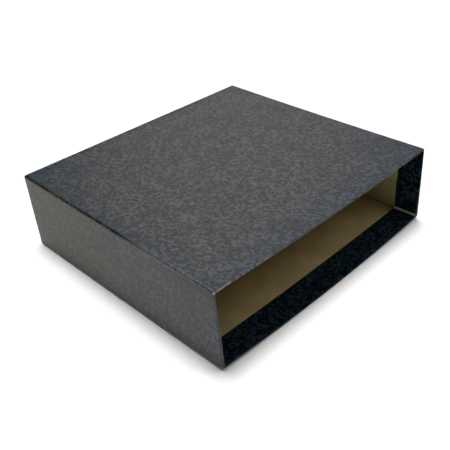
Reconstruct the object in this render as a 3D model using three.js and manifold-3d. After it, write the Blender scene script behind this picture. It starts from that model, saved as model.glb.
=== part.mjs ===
// Slipcase for an A4 lever arch file, lying on one of its large panels.
// Millimetres. X runs along the mouth, Y from the mouth to the back wall, Z up.
// The origin is at the middle of the case, on the surface that it lies on.

import * as THREE from "three";
import { mergeVertices } from "three/addons/utils/BufferGeometryUtils.js";
import Module from "manifold-3d";

const wasm = await Module();
wasm.setup();

// Outside of the covered case
const mouthWidth = 322;
const caseDepth = 300;
const caseHeight = 91;

// Sheet stock, and the glue between the sheets
const boardThickness = 1.3;
const paperThickness = 0.2;
const glueFilm = 0.1;

// Outside radius of the paper over a folded edge of the board
const foldRadius = 2.4;

// Second layer of board inside each end wall: a low flap raised from the
// bottom panel, and a tab turned forward from the back wall
const glueFlapHeight = 36;
const backTabDepth = 32;
const tabRelief = 3;
const flapToTabGap = 4;

// Covering sheet, turned in over the mouth edges and glued down inside
const turnInDepth = 30;
const bareStrip = 2.3;
const paperRamp = 5;

// The mouth corners stand higher than the middle of the mouth
const mouthBow = 3.5;

// Fineness of the round folds, and of the panels that bow
const arcSegments = 4;
const stationsAcross = 10;
const stationsDeep = 6;

// How far a shape runs past the face that cuts it or that it cuts
const runPast = 20;
// Corners closer together than this are one corner
const weldDistance = 0.0001;

// Looks of the two sheets
const kraftBrown = 0x8a6f45;
const kraftRoughness = 0.9;
const marbleGrey = 0x3b3c3e;
const marbleRoughness = 0.45;

// Depth of each layer below the covered outside
const boardOutside = paperThickness + glueFilm;
const boardInside = boardOutside + boardThickness;
const turnInOutside = boardInside + glueFilm;
const turnInInside = turnInOutside + paperThickness;

// Where the case begins and ends along Y
const mouthY = -caseDepth / 2;
const backY = caseDepth / 2;
const boardMouthY = mouthY + boardOutside;
const turnInEndY = mouthY + turnInDepth;

// Inside face of the single end wall
const wallX = mouthWidth / 2 - boardInside;

// Centres of the fold arcs
const foldX = mouthWidth / 2 - foldRadius;
const foldBackY = backY - foldRadius;
const foldLowZ = foldRadius;
const foldHighZ = caseHeight - foldRadius;

// Flaps and tabs
const tabFrontY = backY - boardInside - backTabDepth;
const flapBackY = tabFrontY - flapToTabGap;
const flapTopZ = boardInside + glueFlapHeight;

const quarterTurn = Math.PI / 2;

// Points along a panel, where its bow or the fold of a glue flap needs them
const flapFoldX = foldX - boardThickness;
const stationPitch = (2 * flapFoldX) / stationsAcross;
const panelStations = Array.from(
  { length: stationsAcross + 1 },
  (unused, index) => index * stationPitch - flapFoldX,
);

function addPanel(outline, endX, z, forward) {
  const inside = panelStations.filter((x) => Math.abs(x) < endX - weldDistance);
  const ordered = forward ? inside : inside.toReversed();
  ordered.forEach((x) => outline.lineTo(x, z));
}

// Outline across the mouth at one depth below the covered outside
function sleeveOutline(inset) {
  const radius = foldRadius - inset;
  const outline = new THREE.Shape();
  outline.moveTo(-foldX, inset);
  addPanel(outline, foldX, inset, true);
  outline.absarc(foldX, foldLowZ, radius, -quarterTurn, 0);
  outline.absarc(foldX, foldHighZ, radius, 0, quarterTurn);
  addPanel(outline, foldX, caseHeight - inset, false);
  outline.absarc(-foldX, foldHighZ, radius, quarterTurn, 2 * quarterTurn);
  outline.absarc(-foldX, foldLowZ, radius, 2 * quarterTurn, 3 * quarterTurn);
  return outline;
}

// The same outline where the glue flaps line the lower part of the end walls.
// The ramp is the height that a sheet takes to come off the edge of the flap.
function flapOutline(inset, ramp) {
  const radius = foldRadius - inset;
  const ledgeZ = flapTopZ + inset - boardInside;
  const outline = new THREE.Shape();
  outline.moveTo(-flapFoldX, inset);
  addPanel(outline, flapFoldX, inset, true);
  outline.absarc(flapFoldX, foldLowZ, radius, -quarterTurn, 0);
  outline.lineTo(flapFoldX + radius, ledgeZ);
  outline.lineTo(foldX + radius, ledgeZ + ramp);
  outline.absarc(foldX, foldHighZ, radius, 0, quarterTurn);
  addPanel(outline, foldX, caseHeight - inset, false);
  outline.absarc(-foldX, foldHighZ, radius, quarterTurn, 2 * quarterTurn);
  outline.lineTo(-foldX - radius, ledgeZ + ramp);
  outline.lineTo(-flapFoldX - radius, ledgeZ);
  outline.absarc(-flapFoldX, foldLowZ, radius, 2 * quarterTurn, 3 * quarterTurn);
  return outline;
}

// Outline from the mouth to the back wall, seen along one axis, with round folds
// into the walls at the low and the high face. It may widen towards the mouth.
function backOutline(inset, lowFace, highFace, frontY, widening) {
  const radius = foldRadius - inset;
  const outline = new THREE.Shape();
  outline.moveTo(lowFace + inset - widening, frontY);
  outline.lineTo(highFace - inset + widening, frontY);
  outline.absarc(highFace - foldRadius, foldBackY, radius, 0, quarterTurn);
  outline.absarc(lowFace + foldRadius, foldBackY, radius, quarterTurn, 2 * quarterTurn);
  return outline;
}

function extrude(outline, length, steps) {
  return new THREE.ExtrudeGeometry(outline, {
    depth: length,
    steps,
    curveSegments: arcSegments,
    bevelEnabled: false,
  });
}

// Raise the mouth corners: the lift grows towards the corners, and dies out where
// the back folds begin
function bow(geometry) {
  const position = geometry.getAttribute("position");
  for (let index = 0; index < position.count; index += 1) {
    const across = position.getX(index) / (mouthWidth / 2);
    const forward = Math.max(0, foldBackY - position.getY(index)) / caseDepth;
    const lift = mouthBow * across ** 2 * forward ** 2;
    position.setZ(index, position.getZ(index) + lift);
  }
}

function solidOf(geometry) {
  geometry.deleteAttribute("normal");
  geometry.deleteAttribute("uv");
  const welded = mergeVertices(geometry, weldDistance);
  const mesh = new wasm.Mesh({
    numProp: 3,
    vertProperties: new Float32Array(welded.getAttribute("position").array),
    triVerts: new Uint32Array(welded.getIndex().array),
  });
  return new wasm.Manifold(mesh);
}

// Bowed solid of an outline across the mouth, drawn from one place along Y to another
function alongDepth(outline, fromY, toY) {
  const length = toY - fromY;
  const steps = Math.ceil((length / caseDepth) * stationsDeep);
  const geometry = extrude(outline, length, steps);
  geometry.rotateX(quarterTurn);
  geometry.translate(0, toY, 0);
  bow(geometry);
  return solidOf(geometry);
}

// Solid of an outline seen from above, drawn past the bottom and the top
function alongHeight(outline) {
  const geometry = extrude(outline, caseHeight + 2 * runPast, 1);
  geometry.translate(0, 0, -runPast);
  return solidOf(geometry);
}

// Solid of an outline seen from one end, drawn past both ends
function alongWidth(outline) {
  const geometry = extrude(outline, mouthWidth + 2 * runPast, 1);
  geometry.rotateY(-quarterTurn);
  geometry.translate(mouthWidth / 2 + runPast, 0, 0);
  return solidOf(geometry);
}

// Block that fills the case out to one depth below the covered outside,
// with every fold rounded, from a place near the mouth to the back wall
function filledCase(inset, frontY) {
  const farFrontY = mouthY - 2 * runPast;
  const outline = sleeveOutline(inset);
  const panels = alongDepth(outline, mouthY - runPast, foldBackY);
  const backFolds = alongDepth(outline, foldBackY, backY + runPast);
  const fromAbove = backOutline(inset, -mouthWidth / 2, mouthWidth / 2, frontY, 0);
  const fromEnd = backOutline(inset, 0, caseHeight, farFrontY, 2 * mouthBow);
  return panels
    .add(backFolds)
    .intersect(alongHeight(fromAbove))
    .intersect(alongWidth(fromEnd));
}

function meshOf(name, solid, colour, roughness) {
  const made = solid.getMesh();
  const geometry = new THREE.BufferGeometry();
  geometry.setAttribute(
    "position",
    new THREE.BufferAttribute(made.vertProperties, made.numProp),
  );
  geometry.setIndex(new THREE.BufferAttribute(made.triVerts, 1));
  geometry.computeVertexNormals();
  const material = new THREE.MeshStandardMaterial({
    color: colour,
    roughness,
    metalness: 0,
  });
  const mesh = new THREE.Mesh(geometry, material);
  mesh.name = name;
  return mesh;
}

// Room inside the board: as wide as the case between the tabs and the flaps,
// and narrower low down between the glue flaps
function spaceInBoard() {
  const besideFlaps = alongDepth(
    flapOutline(boardInside, 0),
    mouthY - runPast,
    flapBackY,
  );
  const behindFlaps = alongDepth(
    sleeveOutline(boardInside),
    flapBackY,
    backY - boardInside,
  );
  return besideFlaps.add(behindFlaps);
}

// Tab of the back wall against the inside of one end wall, sunk into both
function backTab(side) {
  const sunkX = side * (wallX + boardThickness / 2);
  const freeX = side * (wallX - boardThickness);
  const lowZ = boardInside + tabRelief;
  const highZ = caseHeight - boardInside - tabRelief;
  const outline = new THREE.Shape();
  outline.moveTo(sunkX, lowZ);
  outline.lineTo(freeX, lowZ);
  outline.lineTo(freeX, highZ);
  outline.lineTo(sunkX, highZ);
  return alongDepth(outline, tabFrontY, backY - boardInside + boardThickness / 2);
}

// One creased and folded blank of kraft-faced board
function makeCaseBoard() {
  const blank = filledCase(boardOutside, boardMouthY)
    .subtract(spaceInBoard())
    .add(backTab(-1))
    .add(backTab(1));
  return meshOf("case_board", blank, kraftBrown, kraftRoughness);
}

// Strip along one inside corner, where the turned-in paper is slit
function cornerSlit(side, cornerX, cornerZ, rise) {
  const nearX = side * cornerX;
  const farX = side * (cornerX - bareStrip);
  const farZ = cornerZ + rise * bareStrip;
  const outline = new THREE.Shape();
  outline.moveTo(nearX, cornerZ);
  outline.lineTo(farX, cornerZ);
  outline.lineTo(farX, farZ);
  outline.lineTo(nearX, farZ);
  return alongDepth(outline, boardMouthY, turnInEndY + runPast);
}

// One sheet over the whole outside, round the mouth edges and down inside
function makeCoverPaper() {
  const turnIn = alongDepth(
    flapOutline(turnInOutside, paperRamp),
    mouthY - runPast,
    turnInEndY,
  );
  const opening = alongDepth(
    flapOutline(turnInInside, paperRamp),
    mouthY - runPast,
    turnInEndY + runPast,
  );
  const roomForBoard = filledCase(paperThickness, mouthY + paperThickness).subtract(turnIn);
  let sheet = filledCase(0, mouthY).subtract(roomForBoard).subtract(opening);
  [-1, 1].forEach((side) => {
    const lowSlit = cornerSlit(side, wallX - boardThickness, boardInside, 1);
    const highSlit = cornerSlit(side, wallX, caseHeight - boardInside, -1);
    sheet = sheet.subtract(lowSlit).subtract(highSlit);
  });
  return meshOf("cover_paper", sheet, marbleGrey, marbleRoughness);
}

const slipcase = new THREE.Group();
slipcase.add(makeCaseBoard());
slipcase.add(makeCoverPaper());

export default slipcase;
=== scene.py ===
import math
import bmesh
import bpy
from mathutils import Matrix, Vector


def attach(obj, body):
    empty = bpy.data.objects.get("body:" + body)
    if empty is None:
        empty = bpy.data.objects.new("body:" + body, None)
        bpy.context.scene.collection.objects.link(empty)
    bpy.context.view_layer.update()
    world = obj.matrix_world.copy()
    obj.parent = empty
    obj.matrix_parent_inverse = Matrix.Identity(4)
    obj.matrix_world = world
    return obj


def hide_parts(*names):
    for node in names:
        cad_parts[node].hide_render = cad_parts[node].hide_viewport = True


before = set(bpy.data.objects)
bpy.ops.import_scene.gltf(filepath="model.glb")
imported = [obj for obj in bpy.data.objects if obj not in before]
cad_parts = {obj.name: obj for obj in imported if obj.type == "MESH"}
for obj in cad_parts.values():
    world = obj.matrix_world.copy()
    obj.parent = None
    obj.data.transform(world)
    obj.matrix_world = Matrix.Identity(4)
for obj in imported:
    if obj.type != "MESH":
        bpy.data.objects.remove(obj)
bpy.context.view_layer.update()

# Slipcase for a lever arch file: a folded board case and its marbled covering paper.
# X runs along the mouth, Y from the mouth to the back wall, Z up. Metres.

mm = 0.001

caseSize = {
    "width": 322 * mm,
    "depth": 300 * mm,
    "height": 91 * mm,
    "foldRadius": 2.4 * mm,
    "boardOutside": 0.3 * mm,      # depth of the board below the covered outside
    "boardThickness": 1.3 * mm,
    "flapHeight": 36 * mm,         # second layer of board inside each end wall
    "mouthBow": 3.5 * mm,          # the mouth corners stand this much higher than its middle
    "topLean": -2.2 * mm,          # the open mouth has racked a little sideways
    "bottomLean": 1.0 * mm,
    "cornerDroop": 1.0 * mm,       # knocked top corner at the near end of the mouth
    "droopReach": 9 * mm,
    "cornerPush": 0.3 * mm,        # top corners pushed back and blunted
    "pushReach": 3.5 * mm,
    "lowerLip": 2.0 * mm,          # the bottom panel's mouth edge bellies out this much
    "lipReach": 40 * mm,
    "smoothAngle": 35,             # degrees, edges sharper than this stay crisp
}

width, depth, height = caseSize["width"], caseSize["depth"], caseSize["height"]
foldRadius = caseSize["foldRadius"]
board = caseSize["boardThickness"]
boardOutside = caseSize["boardOutside"]
boardInside = boardOutside + board
mouthY = -depth / 2
backY = depth / 2
foldX = width / 2 - foldRadius
wallX = width / 2 - boardInside
flapTop = boardInside + caseSize["flapHeight"]
tiny = 0.01 * mm


# Edit mode helpers

def deselectAll():
    if bpy.context.object and bpy.context.object.mode == "EDIT":
        bpy.ops.object.mode_set(mode="OBJECT")
    bpy.ops.object.select_all(action="DESELECT")


def makeActive(piece):
    deselectAll()
    bpy.context.view_layer.objects.active = piece
    piece.select_set(True)


def addBox(name, low, high):
    deselectAll()
    middle = [(a + b) / 2 for a, b in zip(low, high)]
    bpy.ops.mesh.primitive_cube_add(size=1, location=middle)
    piece = bpy.context.object
    piece.name = name
    piece.scale = [b - a for a, b in zip(low, high)]
    bpy.ops.object.transform_apply(location=True, rotation=True, scale=True)
    bpy.ops.object.mode_set(mode="EDIT")
    return piece


def pick(piece, kind, test):
    # selects the vertices, edges or faces that pass the test, by place or normal
    work = bmesh.from_edit_mesh(piece.data)
    bpy.ops.mesh.select_mode(type=kind)
    bpy.ops.mesh.select_all(action="DESELECT")
    groups = {"VERT": work.verts, "EDGE": work.edges, "FACE": work.faces}
    for item in groups[kind]:
        if test(item):
            item.select_set(True)
    bmesh.update_edit_mesh(piece.data)


def cutStrips(piece, axis, places, test=lambda face: True):
    # cuts the faces that pass the test, square to the axis (0 is X), at each place
    normal = [0, 0, 0]
    normal[axis] = 1
    for place in places:
        pick(piece, "FACE", test)
        bpy.ops.mesh.bisect(plane_co=[place * n for n in normal], plane_no=normal)


def evenly(low, high, count):
    return [low + (high - low) * (i + 1) / count for i in range(count - 1)]


def thicken(piece, thickness):
    makeActive(piece)
    solidify = piece.modifiers.new("Solidify", "SOLIDIFY")
    solidify.thickness = thickness
    solidify.offset = -1
    bpy.ops.object.modifier_apply(modifier=solidify.name)


def settleShape(piece):
    # the lift and the lean grow towards the mouth, and die out where the back folds begin
    flat = piece.data.attributes.new("flat_place", "FLOAT_VECTOR", "POINT")
    for index, vertex in enumerate(piece.data.vertices):
        x, y, z = vertex.co
        flat.data[index].vector = vertex.co
        forward = max(0, backY - foldRadius - y) / depth
        across = x / (width / 2)
        high = z / height
        lean = caseSize["topLean"] * high + caseSize["bottomLean"] * (1 - high)
        vertex.co.x += lean * forward
        vertex.co.z += caseSize["mouthBow"] * across ** 2 * forward ** 2
        fromNearCorner = math.hypot(x + width / 2, y - mouthY) / caseSize["droopReach"]
        vertex.co.z -= caseSize["cornerDroop"] * high ** 3 * math.exp(-fromNearCorner ** 2)
        lip = max(0, mouthY + caseSize["lipReach"] - y) / caseSize["lipReach"]
        vertex.co.y -= caseSize["lowerLip"] * lip ** 2 * (1 - across ** 2) * (1 - high) ** 4
        fromCorner = math.hypot(width / 2 - abs(x), y - mouthY) / caseSize["pushReach"]
        push = caseSize["cornerPush"] * high ** 3 * math.exp(-fromCorner ** 2)
        vertex.co.x -= math.copysign(push, x)
        vertex.co.y += push


def finishPiece(piece, material, node):
    makeActive(piece)
    bpy.ops.object.shade_smooth_by_angle(angle=math.radians(caseSize["smoothAngle"]))
    piece.data.materials.clear()
    piece.data.materials.append(material)
    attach(piece, "root")
    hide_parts(node)


# Shared strips, so that the panels can bow
strips = {
    "across": 30,
    "deep": 26,
    "high": 6,
    "foldSegments": 6,
    "besideEndWalls": (2.1 * mm, 5 * mm),
    "besideMouth": (1.2 * mm, 3 * mm, 6 * mm),
    "deepFrom": 2 * mm,            # even strips start this far from the mouth
}
acrossPlaces = evenly(-foldX, foldX, strips["across"])
acrossPlaces += [side * (foldX - step) for side in (-1, 1) for step in strips["besideEndWalls"]]
deepPlaces = [mouthY + step for step in strips["besideMouth"]]
deepPlaces += evenly(mouthY + strips["deepFrom"], backY - foldRadius, strips["deep"])
highPlaces = evenly(foldRadius, height - foldRadius, strips["high"])


def openCase(name, inset):
    # a box with an open mouth and round folds, at one depth below the outside
    low = (-width / 2 + inset, mouthY + inset, inset)
    high = (width / 2 - inset, backY - inset, height - inset)
    piece = addBox(name, low, high)
    pick(piece, "FACE", lambda face: face.normal.y < -0.9)   # the side of the mouth
    bpy.ops.mesh.delete(type="FACE")
    pick(piece, "EDGE", lambda edge: not edge.is_boundary)
    bpy.ops.mesh.bevel(offset=foldRadius - inset, segments=strips["foldSegments"], affect="EDGES")
    return piece


# Covering paper

coverPaper = {
    "thickness": 0.2 * mm,
    "rimWidth": 1.9 * mm,          # board, paper and glue seen edge on
    "rimAngle": 50,                # degrees, the edges of the rim turn more than this
    "rimRounding": 0.75 * mm,
    "rimSegments": 3,
    "turnIn": 30 * mm,
    "turnInRows": 6,
    "slitStart": 0.9 * mm,
    "slitSlack": 0.3 * mm,         # faces this much outside the inner walls still count as inside
    "bareStrip": 2.3 * mm,
    "ramp": 5 * mm,                # where the paper comes off the edge of the flap
    "unfadedFrom": 1.2 * mm,       # depth below the outside where the painted shade inside the mouth begins
    "unfadedTo": 31 * mm,          # and how far it reaches from the mouth
}


def moveInward(piece, distance):
    # moves the selected vertices square to the sleeve's outline
    work = bmesh.from_edit_mesh(piece.data)
    for vertex in work.verts:
        if vertex.select:
            x, y, z = vertex.co
            heart = Vector((
                max(-foldX, min(foldX, x)), y,
                max(foldRadius, min(height - foldRadius, z)),
            ))
            vertex.co -= (vertex.co - heart).normalized() * distance
    bmesh.update_edit_mesh(piece.data)


def makeCoverPaper():
    settings = coverPaper
    cover = openCase("marbled_cover_paper", 0)
    lowSlitX = wallX - board - settings["bareStrip"]
    highSlitX = wallX - settings["bareStrip"]
    slitZ = boardInside + settings["bareStrip"]
    cutStrips(cover, 0, acrossPlaces)
    cutStrips(cover, 1, deepPlaces)
    cutStrips(cover, 2, highPlaces + [slitZ, height - slitZ, flapTop, flapTop + settings["ramp"]])
    cutStrips(cover, 0, (-lowSlitX, lowSlitX), lambda face: face.calc_center_median().z < flapTop)
    cutStrips(cover, 0, (-highSlitX, highSlitX), lambda face: face.calc_center_median().z > flapTop)

    # round the board's cut edge and down inside
    pick(cover, "EDGE", lambda edge: edge.is_boundary)
    bpy.ops.mesh.extrude_region_move()
    moveInward(cover, settings["rimWidth"])
    evenRow = (settings["turnIn"] - settings["slitStart"]) / settings["turnInRows"]
    for row in [settings["slitStart"]] + [evenRow] * settings["turnInRows"]:
        bpy.ops.mesh.extrude_region_move(TRANSFORM_OT_translate={"value": (0, row, 0)})

    # the second layer of board sets the paper in, low on the end walls
    def overFlap(vertex):
        x, y, z = vertex.co
        inner = min(width / 2 - abs(x), z) > settings["rimWidth"] - tiny
        return inner and abs(x) > foldX - tiny and z < flapTop + tiny and y < 0

    for side in (-1, 1):
        pick(cover, "VERT", lambda vertex: overFlap(vertex) and vertex.co.x * side > 0)
        bpy.ops.transform.translate(value=(-side * board, 0, 0))

    # slits along the inside corners
    def inSlit(face):
        x, y, z = face.calc_center_median()
        if y < mouthY + settings["slitStart"] or y > mouthY + settings["turnIn"]:
            return False
        if min(width / 2 - abs(x), z, height - z) < settings["rimWidth"] - settings["slitSlack"]:
            return False
        low = z < slitZ and abs(x) > lowSlitX
        return low or (z > height - slitZ and abs(x) > highSlitX)

    pick(cover, "FACE", inSlit)
    bpy.ops.mesh.delete(type="FACE")

    # soft edges where the paper turns round the board
    def onRim(edge):
        atMouth = all(abs(vertex.co.y - mouthY) < tiny for vertex in edge.verts)
        sharp = edge.calc_face_angle(0) > math.radians(settings["rimAngle"])
        return atMouth and not edge.is_boundary and sharp

    pick(cover, "EDGE", onRim)
    bpy.ops.mesh.bevel(
        offset=settings["rimRounding"], segments=settings["rimSegments"], affect="EDGES")
    bpy.ops.object.mode_set(mode="OBJECT")
    thicken(cover, settings["thickness"])
    # painted shade: the turned-in part inside the mouth is marked for darker, bluer ink than the outside
    turnedIn = cover.data.attributes.new("turned_in", "FLOAT", "POINT")
    for index, vertex in enumerate(cover.data.vertices):
        x, y, z = vertex.co
        inner = min(width / 2 - abs(x), z, height - z) > settings["unfadedFrom"]
        turnedIn.data[index].value = float(inner and y < mouthY + settings["unfadedTo"])
    settleShape(cover)
    return cover


# Board case

boardCase = {
    "tabDepth": 32 * mm,
    "tabRelief": 3 * mm,
    "flapToTab": 4 * mm,
    "cutEdge": 0.12 * mm,          # crushed corner of a cut edge
    "cutEdgeSegments": 2,
    "pressedBand": 4 * mm,
    "pressed": 0.95 * mm,          # how far the free upper edge is pressed thin
    "stripMargin": 1 * mm,         # no strip is cut this close to a plate's ends
}


def makeBoardPlate(name, side, lowY, highY, lowZ, highZ):
    sides = sorted((side * (wallX - board), side * (wallX + tiny)))
    plate = addBox(name, (sides[0], lowY, lowZ), (sides[1], highY, highZ))
    # the free upper edge is pressed thin against the wall
    cutStrips(plate, 2, [highZ - boardCase["pressedBand"]])
    pick(plate, "VERT", lambda vertex: vertex.co.z > highZ - tiny and abs(vertex.co.x) < wallX - tiny)
    bpy.ops.transform.translate(value=(side * boardCase["pressed"], 0, 0))
    bpy.ops.mesh.select_all(action="SELECT")
    bpy.ops.mesh.bevel(
        offset=boardCase["cutEdge"], segments=boardCase["cutEdgeSegments"], affect="EDGES")
    margin = boardCase["stripMargin"]
    cutStrips(plate, 1, [place for place in deepPlaces if lowY + margin < place < highY - margin])
    bpy.ops.object.mode_set(mode="OBJECT")
    return plate


def makeBoardCase():
    case = openCase("kraft_board_case", boardOutside)
    cutStrips(case, 0, acrossPlaces)
    cutStrips(case, 1, deepPlaces)
    cutStrips(case, 2, highPlaces)
    bpy.ops.object.mode_set(mode="OBJECT")
    thicken(case, board)
    backInside = backY - boardInside
    tabFront = backInside - boardCase["tabDepth"]
    flapBack = tabFront - boardCase["flapToTab"]
    tabLow = boardInside + boardCase["tabRelief"]
    plates = []
    for side in (-1, 1):
        plates.append(makeBoardPlate(
            "glue_flap", side, mouthY + boardOutside, flapBack, boardInside, flapTop))
        plates.append(makeBoardPlate("back_tab", side, tabFront, backInside, tabLow, height - tabLow))
    makeActive(case)
    for plate in plates:
        plate.select_set(True)
    bpy.ops.object.join()
    settleShape(case)
    return case


# Materials

def hexColour(code):
    channels = [int(code[i:i + 2], 16) / 255 for i in (0, 2, 4)]
    linear = [c / 12.92 if c <= 0.04045 else ((c + 0.055) / 1.055) ** 2.4 for c in channels]
    return (*linear, 1)


def addNode(tree, kind, inputs=None, output=0, **settings):
    # an input is a value or another node's output, and the settings are the node's own.
    # A Mix takes its factor at 0 and two colours at 6 and 7, and gives the colour at 2.
    node = tree.nodes.new("ShaderNode" + kind)
    for name, value in settings.items():
        setattr(node, name, value)
    for socket, value in (inputs or {}).items():
        if isinstance(value, bpy.types.NodeSocket):
            tree.links.new(value, node.inputs[socket])
        else:
            node.inputs[socket].default_value = value
    return node.outputs[output] if node.outputs else None


def newMaterial(name):
    material = bpy.data.materials.new(name)
    material.use_nodes = True
    material.node_tree.nodes.clear()
    return material, material.node_tree


# Cloud marble covering paper: printed in black and grey on white stock, satin varnish.
# The eye sees near black ink with soft grey veins, lifted by a broad pale sheen.
marbledPaper = {
    "fadedInk": "17181a",
    "fadedVein": "484648",
    "freshInk": "00050a",          # painted shade inside the mouth: darker, bluer ink than outside
    "freshVein": "253742",
    "scuffAndHighlight": "c9c8c2",             # bare paper where the ink is scuffed off, also a painted highlight along the mouth's top edge and the near fold
    "foldShadeColour": "05090f",           # painted shade along the near top fold and on the end wall just below it
    "blueTone": "c4e8ff",          # painted shade: darker and bluer towards the back corner of the top; elsewhere bluer near the mouth, the far mouth corner and the near fold
    "yellowTone": "fff2aa",        # warmer tone on the far half of the near end wall
    "sheetTurn": (0.5, 0.4, 0.6),  # radians, so that no grain lines up with the edges
    "warpNoise": {"Scale": 1 / (4.6 * mm), "Detail": 1},
    "warpReach": 3.2 * mm,
    # the veins are stubby worms of one size with specks between them, stronger in clouds
    "wormNoise": {"Scale": 1 / (3.9 * mm), "Detail": 0},
    "wormRamp": {"From Min": 0.4, "From Max": 0.66, "To Max": 0.68},
    "speckNoise": {"Scale": 1 / (2.4 * mm), "Detail": 0},
    "speckRamp": {"From Min": 0.42, "From Max": 0.66, "To Max": 0.32},
    "cloudNoise": {"Scale": 1 / (17 * mm), "Detail": 2},
    "cloudRamp": {"From Min": 0.3, "From Max": 0.6, "To Min": 0.6, "To Max": 1.1},
    "fleckNoise": {"Scale": 1 / (3.5 * mm), "Detail": 3},
    "fibreNoise": {"Scale": 1 / (0.5 * mm), "Detail": 2},
    "fibreBump": {"Strength": 0.25, "Distance": 0.03 * mm},
    "roughness": 0.42,
    "ior": 1.4,                    # varnish, shiny enough for a broad sheen
    "insideShadeIor": 1.12,           # inside the mouth: a painted-shade copy of the paper with hardly any sheen
    # A mask is the strongest of its areas, and an area is the product of its ramps. A ramp is
    # (what is measured, its start, its end, strength at the start, strength at the end).
    # X, Y and Z are in mm from the near top corner of the mouth, and fold is the distance
    # from the near top fold. The flecks are a noise that breaks an area up.
    "masks": {
        # painted shade: below the near fold on the end wall towards the mouth, and a ragged line along
        # the fold further back
        "foldShade": (
            (("X", 2.4, 0.8, 0, 1), ("Z", -16, -3, 0, 1), ("Y", 70, 10, 0, 0.95)),
            (("fold", 3.4, 2.2, 0, 1), ("Y", 40, 90, 0, 1), ("flecks", 0.48, 0.54, 0, 0.8)),
        ),
        # painted shade at the back corner of the top, a bluer tone at the other areas
        "blue": (
            (("backCorner", 100, 10, 0, 1),),
            (("farCorner", 110, 20, 0, 1),),
            (("Y", 45, 5, 0, 0.75),),
            (("Z", -2, -0.5, 0, 1), ("X", 22, 4, 0, 0.8)),
        ),
        "yellow": (
            (("X", 2.4, 0.8, 0, 1), ("Y", 100, 240, 0, 1)),
        ),
        # scuffs and painted highlight along the mouth's top edge, painted highlight on the near fold by
        # the mouth, a scuffed nick at the near corner
        "wornAndHighlight": (
            (
                ("Y", 1.3, 0.4, 0, 1), ("Z", -2.2, -0.7, 0, 1),
                ("nearCorner", 100, 10, 0.05, 0.25), ("flecks", 0.45, 0.6, 0, 1),
            ),
            (("fold", 3.4, 2.2, 0, 1), ("Y", 140, 80, 0, 0.15), ("flecks", 0.515, 0.6, 0.5, 1)),
            (("nearCorner", 2.8, 1.2, 0, 0.5),),
        ),
    },
}


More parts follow.
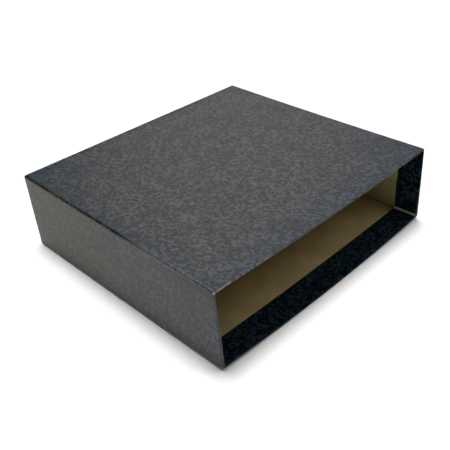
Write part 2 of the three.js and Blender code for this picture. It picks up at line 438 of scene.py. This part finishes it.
def makeMarbledPaper(name, ior):
    settings = marbledPaper
    material, tree = newMaterial(name)
    place = addNode(tree, "TexCoord", output="Object")
    place = addNode(tree, "Mapping", {"Vector": place, "Rotation": settings["sheetTurn"]})
    warp = addNode(tree, "TexNoise", {"Vector": place, **settings["warpNoise"]}, output="Color")
    warp = addNode(tree, "VectorMath", {0: warp, "Scale": settings["warpReach"]}, operation="SCALE")
    warped = addNode(tree, "VectorMath", {0: place, 1: warp}, operation="ADD")
    marks = {}
    for mark, where in (("worm", warped), ("speck", warped), ("cloud", place)):
        noise = addNode(tree, "TexNoise", {"Vector": where, **settings[mark + "Noise"]})
        ramp = {"Value": noise, **settings[mark + "Ramp"]}
        marks[mark] = addNode(tree, "MapRange", ramp, interpolation_type="SMOOTHSTEP")
    veins = addNode(tree, "Math", {0: marks["worm"], 1: marks["speck"]}, operation="ADD")
    veins = addNode(tree, "Math", {0: veins, 1: marks["cloud"]}, operation="MULTIPLY")
    turnedIn = addNode(tree, "Attribute", output="Fac", attribute_name="turned_in")
    # outer inks outside, darker painted-shade inks on the turned-in part inside the mouth
    inks = []
    for part in ("Ink", "Vein"):
        colours = {6: hexColour(settings["faded" + part]), 7: hexColour(settings["fresh" + part])}
        inks.append(addNode(tree, "Mix", {0: turnedIn, **colours}, output=2, data_type="RGBA"))
    colour = addNode(tree, "Mix", {0: veins, 6: inks[0], 7: inks[1]}, output=2, data_type="RGBA")

    # what the masks measure, on the case as it was before it bent
    flat = addNode(tree, "Attribute", output="Vector", attribute_name="flat_place")
    flat = addNode(tree, "VectorMath", {0: flat, 1: (-width / 2, mouthY, height)}, operation="SUBTRACT")
    flat = addNode(tree, "VectorMath", {0: flat, "Scale": 1 / mm}, operation="SCALE")
    measured = dict(addNode(tree, "SeparateXYZ", {0: flat}).node.outputs.items())
    measured["fold"] = addNode(tree, "Math", {0: measured["X"], 1: measured["Z"]}, operation="SUBTRACT")
    measured["flecks"] = addNode(tree, "TexNoise", {"Vector": place, **settings["fleckNoise"]})
    corners = {"nearCorner": (0, 0, 0), "farCorner": (width / mm, 0, 0), "backCorner": (0, depth / mm, 0)}
    for corner, spot in corners.items():
        measured[corner] = addNode(
            tree, "VectorMath", {0: flat, 1: spot}, output="Value", operation="DISTANCE")
    masks = {}
    for mask, areas in settings["masks"].items():
        masks[mask] = 0
        for area in areas:
            strength = 1
            for measure, start, end, least, most in area:
                limits = {"From Min": start, "From Max": end, "To Min": least, "To Max": most}
                ramp = addNode(
                    tree, "MapRange", {"Value": measured[measure], **limits},
                    interpolation_type="SMOOTHSTEP")
                strength = addNode(tree, "Math", {0: strength, 1: ramp}, operation="MULTIPLY")
            masks[mask] = addNode(tree, "Math", {0: masks[mask], 1: strength}, operation="MAXIMUM")
    # the warmer far end and the painted-shade inside of the mouth aren't bluer
    neverBlue = addNode(tree, "Math", {0: masks["yellow"], 1: turnedIn}, operation="MAXIMUM")
    maybeBlue = addNode(tree, "Math", {0: 1, 1: neverBlue}, operation="SUBTRACT")
    masks["blue"] = addNode(tree, "Math", {0: masks["blue"], 1: maybeBlue}, operation="MULTIPLY")

    for mask, blend, code in (
        ("foldShade", "MIX", settings["foldShadeColour"]),
        ("blue", "MULTIPLY", settings["blueTone"]),
        ("yellow", "MULTIPLY", settings["yellowTone"]),
        ("wornAndHighlight", "MIX", settings["scuffAndHighlight"]),
    ):
        layer = {0: masks[mask], 6: colour, 7: hexColour(code)}
        colour = addNode(tree, "Mix", layer, output=2, data_type="RGBA", blend_type=blend)
    fibres = addNode(tree, "TexNoise", {"Vector": place, **settings["fibreNoise"]})
    bump = addNode(tree, "Bump", {"Height": fibres, **settings["fibreBump"]})
    shader = addNode(tree, "BsdfPrincipled", {
        "Base Color": colour, "Normal": bump, "Roughness": settings["roughness"], "IOR": ior})
    addNode(tree, "OutputMaterial", {"Surface": shader})
    return material


# Kraft-faced grey board: brown recycled liner, calendered and unvarnished.
# The eye sees a dull even brown with short fibres and faint clouding.
kraftBoard = {
    "kraft": "b7a375",
    "darkKraft": "998860",
    "cloudNoise": {"Scale": 1 / (26 * mm), "Detail": 3},
    "fibreNoise": {"Scale": 1 / (1.2 * mm), "Detail": 4, "Roughness": 0.7, "Distortion": 1.5},
    "paleFrom": 0.7,               # where the sum of both noises is below this it is darkKraft
    "paleTo": 1.3,                 # and where it is above this it is kraft
    "bareStripHighlight": "d8d6c6",         # painted highlight: pales the bare strip at the far end of the mouth where its crease catches the light
    "bareStripHighlightCover": 0.9,
    "bareStripHighlightSpread": 0.3 * mm,
    "endWallShade": "50711a",       # painted shade: the insides of the end walls a little darker and greener
    "endWallShadeCover": 0.3,
    "endWallShadeReach": 0.5 * mm,
    # painted shadow in the inside corner between floor and end walls, deeper in than the turn-in
    "creaseShadow": "201808",
    "creaseShade": 0.5,
    "creaseReach": 0.7 * mm,
    "fibreBump": {"Strength": 0.3, "Distance": 0.05 * mm},
    "roughness": 0.85,
    "ior": 1.45,
}


def makeKraftBoard():
    settings = kraftBoard
    material, tree = newMaterial("kraft_faced_board")
    place = addNode(tree, "TexCoord", output="Object")
    clouds = addNode(tree, "TexNoise", {"Vector": place, **settings["cloudNoise"]})
    fibres = addNode(tree, "TexNoise", {"Vector": place, **settings["fibreNoise"]})
    both = addNode(tree, "Math", {0: clouds, 1: fibres}, operation="ADD")
    pale = addNode(tree, "MapRange", {
        "Value": both, "From Min": settings["paleFrom"], "From Max": settings["paleTo"]})
    kraft = {6: hexColour(settings["darkKraft"]), 7: hexColour(settings["kraft"])}
    colour = addNode(tree, "Mix", {0: pale, **kraft}, output=2, data_type="RGBA")

    # the painted shade and highlight lie where a measure of the unbent case is past each of their limits
    flat = addNode(tree, "Attribute", output="Vector", attribute_name="flat_place")
    x, y, z = addNode(tree, "SeparateXYZ", {0: flat}).node.outputs
    outward = addNode(tree, "Math", {0: x}, operation="ABSOLUTE")
    flapX = wallX - board
    turnInEnd = mouthY + coverPaper["turnIn"]
    strip = coverPaper["bareStrip"] + settings["bareStripHighlightSpread"]
    creaseShadow = settings["creaseReach"]
    for code, cover, limits in (
        (settings["endWallShade"], settings["endWallShadeCover"], (
            (outward, "GREATER_THAN", flapX - settings["endWallShadeReach"]),
        )),
        (settings["bareStripHighlight"], settings["bareStripHighlightCover"], (
            (x, "GREATER_THAN", flapX - strip),
            (z, "LESS_THAN", boardInside + strip),
            (y, "LESS_THAN", turnInEnd),
        )),
        (settings["creaseShadow"], settings["creaseShade"], (
            (outward, "GREATER_THAN", flapX - creaseShadow),
            (z, "LESS_THAN", boardInside + creaseShadow),
            (y, "GREATER_THAN", turnInEnd),
        )),
    ):
        for measure, side, limit in limits:
            past = addNode(tree, "Math", {0: measure, 1: limit}, operation=side)
            cover = addNode(tree, "Math", {0: cover, 1: past}, operation="MULTIPLY")
        paintedLight = {0: cover, 6: colour, 7: hexColour(code)}
        colour = addNode(tree, "Mix", paintedLight, output=2, data_type="RGBA")
    bump = addNode(tree, "Bump", {"Height": fibres, **settings["fibreBump"]})
    shader = addNode(tree, "BsdfPrincipled", {
        "Base Color": colour, "Normal": bump,
        "Roughness": settings["roughness"], "IOR": settings["ior"]})
    addNode(tree, "OutputMaterial", {"Surface": shader})
    return material


# Pieces

coverPiece = makeCoverPaper()
satinPaper = makeMarbledPaper("marbled_paper_satin", marbledPaper["ior"])
finishPiece(coverPiece, satinPaper, "cover_paper")
# The same paper turned in at the mouth, as a painted-shade copy: a matt black with hardly any sheen
insideShadePaper = makeMarbledPaper("marbled_paper_inside_shade", marbledPaper["insideShadeIor"])
coverPiece.data.materials.append(insideShadePaper)
turnedIn = coverPiece.data.attributes["turned_in"].data
for face in coverPiece.data.polygons:
    face.material_index = int(all(turnedIn[corner].value > 0.5 for corner in face.vertices))
print("covering paper made:", len(coverPiece.data.polygons), "faces")

boardPiece = makeBoardCase()
finishPiece(boardPiece, makeKraftBoard(), "case_board")
print("board case made:", len(boardPiece.data.polygons), "faces")


# Studio

studio = {
    "floorSize": 8,
    "floorColour": "fcfcfc",
    "overheadStrength": 2.92,
    "overheadAngle": 19.4,         # degrees, wide enough for a soft contact shadow
    "overheadFrom": (0.03, 0.11, 1),  # a little behind the case
    "fillPower": 4.8,              # softbox in front of the mouth, lights the inside
    "fillSize": 0.6,
    "fillPlace": (0.6, -0.88, 1.3),
    "backdrop": (1, 1, 1, 1),      # what the camera sees past the floor
    "ambient": (0.17, 0.17, 0.17, 1),
    "screenDirection": (0.53, 0.55, 0.645),  # middle of the pale screen behind the case
    "screenFrom": 0.92,            # cosine of the angle to its edge
    "screenDim": (0.05, 0.08, 0.09, 1),
    "screenBright": (2.5, 2.47, 2.47, 1),
}

# Floor of matt white painted board: plain white to the eye, with a soft shadow under the case
deselectAll()
bpy.ops.mesh.primitive_plane_add(size=studio["floorSize"], location=(0, 0, -tiny))
floor = bpy.context.object
floor.name = "studio_floor"
floorMaterial, floorTree = newMaterial("white_floor")
floorShader = addNode(floorTree, "BsdfDiffuse", {"Color": hexColour(studio["floorColour"])})
addNode(floorTree, "OutputMaterial", {"Surface": floorShader})
floor.data.materials.append(floorMaterial)

bpy.ops.object.light_add(type="SUN", location=(0, 0, 1))
overhead = bpy.context.object
overhead.name = "overhead_softbox"
overhead.data.energy = studio["overheadStrength"]
overhead.data.angle = math.radians(studio["overheadAngle"])
overhead.visible_glossy = False    # no hard glint along the folds: the pale screen gives the sheen
overhead.rotation_euler = Vector(studio["overheadFrom"]).to_track_quat("Z", "Y").to_euler()

bpy.ops.object.light_add(type="AREA", location=studio["fillPlace"])
fill = bpy.context.object
fill.name = "front_softbox"
fill.data.energy = studio["fillPower"]
fill.data.size = studio["fillSize"]
fill.rotation_euler = Vector(studio["fillPlace"]).to_track_quat("Z", "Y").to_euler()


def makeWorld():
    # white to the camera, a pale screen behind the case to glossy rays, a low fill for the rest
    world = bpy.data.worlds.new("studio_white")
    bpy.context.scene.world = world
    world.use_nodes = True
    tree = world.node_tree
    tree.nodes.clear()
    rays = addNode(tree, "LightPath").node.outputs
    direction = addNode(tree, "TexCoord", output="Generated")
    facing = addNode(
        tree, "VectorMath", {0: direction, 1: studio["screenDirection"]},
        output="Value", operation="DOT_PRODUCT")
    screen = addNode(
        tree, "MapRange", {"Value": facing, "From Min": studio["screenFrom"]},
        interpolation_type="SMOOTHSTEP")
    reflected = addNode(
        tree, "Mix", {0: screen, 6: studio["screenDim"], 7: studio["screenBright"]},
        output=2, data_type="RGBA")
    unseen = addNode(
        tree, "Mix", {0: rays["Is Glossy Ray"], 6: studio["ambient"], 7: reflected},
        output=2, data_type="RGBA")
    colour = addNode(
        tree, "Mix", {0: rays["Is Camera Ray"], 6: unseen, 7: studio["backdrop"]},
        output=2, data_type="RGBA")
    background = addNode(tree, "Background", {"Color": colour})
    addNode(tree, "OutputWorld", {"Surface": background})


makeWorld()

# Camera, fitted to the photograph's corners
cameraFit = {
    "focalPixels": 646.6,
    "sensorWidth": 36,             # millimetres, as the lens is
    "azimuth": -44.88,
    "elevation": 34.36,
    "roll": -2.66,
    "distance": 2.2048,            # in case widths
    "target": (-0.0315, 0.3454, 0.1),  # from the middle of the mouth, in case widths
    "centrePixel": (247.5, 224.1),
    "frame": 450,
}


def makeCamera():
    fit = cameraFit
    azimuth, elevation, roll = (math.radians(fit[k]) for k in ("azimuth", "elevation", "roll"))
    target = Vector(fit["target"]) * width + Vector((0, mouthY, 0))
    away = Vector((
        math.sin(azimuth) * math.cos(elevation),
        -math.cos(azimuth) * math.cos(elevation),
        math.sin(elevation),
    ))
    data = bpy.data.cameras.new("studio_camera")
    data.sensor_width = fit["sensorWidth"]
    data.lens = fit["focalPixels"] * data.sensor_width / fit["frame"]
    data.shift_x = (fit["frame"] / 2 - fit["centrePixel"][0]) / fit["frame"]
    data.shift_y = (fit["centrePixel"][1] - fit["frame"] / 2) / fit["frame"]
    camera = bpy.data.objects.new("studio_camera", data)
    bpy.context.scene.collection.objects.link(camera)
    level = away.to_track_quat("Z", "Y").to_matrix()
    turned = level @ Matrix.Rotation(roll, 3, "Z")
    camera.matrix_world = turned.to_4x4()
    camera.location = target + away * fit["distance"] * width
    bpy.context.scene.camera = camera


makeCamera()
bpy.context.scene.view_settings.view_transform = "Standard"
print("studio made")
